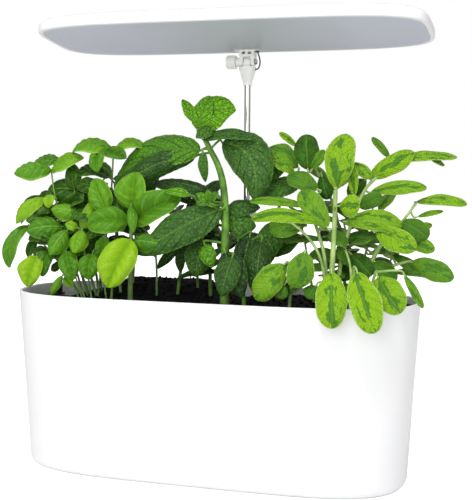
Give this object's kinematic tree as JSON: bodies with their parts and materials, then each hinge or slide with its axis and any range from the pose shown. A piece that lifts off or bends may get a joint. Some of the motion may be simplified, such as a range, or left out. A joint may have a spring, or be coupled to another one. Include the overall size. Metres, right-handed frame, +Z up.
{
  "type": "countertop herb garden with grow lamp",
  "caption": "Long rounded white planter tub of herbs in black mix, with a flat grow lamp on a telescopic pole that slides, turns and tilts above the plants.",
  "frame": {"origin": "centre of the tub's underside, on the surface it stands on", "axes": "+X along the tub to the right seen from the front, +Y to the back where the pole stands, +Z up"},
  "size_m": [0.4535, 0.1722, 0.4428],
  "materials": {
    "tub_white": "gloss moulded, faint flow marks",
    "basin_black": "satin black moulded",
    "wick_felt": "needled felt",
    "potting_mix": "damp black peat and bark crumb",
    "guide_black": "satin black moulded",
    "float_foam": "closed-cell foam",
    "stem_red": "gloss rod",
    "fitting_white": "satin-gloss moulded",
    "screw_steel": "zinc-plated",
    "jack_black": "fine matte",
    "collet_grey": "acetal",
    "rod_steel": "polished steel tube",
    "lead_black": "soft matte sheath",
    "washer_dark": "fibre",
    "insert_brass": "turned, knurled",
    "lamp_white": "gloss moulded",
    "diffuser_frost": "frosted translucent sheet",
    "board_alu": "white solder mask over aluminium",
    "chip_yellow": "phosphor gel",
    "board_green": "solder mask",
    "button_white": "satin",
    "dome_rubber": "silicone",
    "basil_leaf": "waxy, quilted between veins",
    "mint_leaf": "matte, finely wrinkled",
    "sage_leaf": "soft grey-green with darker patches"
  },
  "bodies": {
    "tub": {"outer_tub": "tub_white", "planting_basin": "basin_black", "wicks": "wick_felt", "potting_mix": "potting_mix", "level_guide": "guide_black", "pole_socket": "fitting_white", "socket_screws": "screw_steel", "dc_inlet": "jack_black", "basil": "basil_leaf", "mint": "mint_leaf", "sage": "sage_leaf"},
    "float": {"level_float": "float_foam", "level_stem": "stem_red"},
    "post": {"lower_post": "fitting_white", "collet": "collet_grey"},
    "collar": {"screw_collar": "fitting_white"},
    "rod": {"steel_rod": "rod_steel", "rod_guide": "collet_grey", "pole_lead": "lead_black", "pole_head": "fitting_white"},
    "lamp": {"friction_washers": "washer_dark", "hinge_bolt": "screw_steel", "lamp_bracket": "fitting_white", "bracket_screws": "screw_steel", "lamp_lead": "lead_black", "lead_grommet": "lead_black", "lamp_shell": "lamp_white", "diffuser": "diffuser_frost", "led_board": "board_alu", "led_chips": "chip_yellow", "board_screws": "screw_steel", "driver_board": "board_green", "button_dome": "dome_rubber"},
    "knob": {"tilt_knob": "fitting_white", "knob_insert": "insert_brass"},
    "button": {"power_button": "button_white"}
  },
  "joints": [
    {"name": "level_float_rise", "type": "slide", "parent": "tub", "child": "float", "axis": [0, 0, 1], "range_m": [0, 0.04]},
    {"name": "lamp_swivel", "type": "hinge", "parent": "tub", "child": "post", "pos_m": [0.016, 0.056, 0.2], "axis": [0, 0, 1], "range_deg": [-90, 90]},
    {"name": "collar_turn", "type": "hinge", "parent": "post", "child": "collar", "pos_m": [0.016, 0.056, 0.25], "axis": [0, 0, 1], "range_deg": [0, 180]},
    {"name": "pole_height", "type": "slide", "parent": "post", "child": "rod", "axis": [0, 0, 1], "range_m": [-0.03, 0.1]},
    {"name": "lamp_tilt", "type": "hinge", "parent": "rod", "child": "lamp", "pos_m": [0.016, 0.056, 0.4035], "axis": [1, 0, 0], "range_deg": [-30, 30], "deforming": ["lamp_lead"]},
    {"name": "knob_turn", "type": "hinge", "parent": "lamp", "child": "knob", "pos_m": [0, 0.056, 0.4035], "axis": [1, 0, 0], "range_deg": [-30, 360]},
    {"name": "button_press", "type": "slide", "parent": "lamp", "child": "button", "axis": [0, -0.1392, -0.9903], "range_m": [0, 0.0012], "stiffness_N_per_m": 400, "deforming": ["button_dome"]}
  ]
}
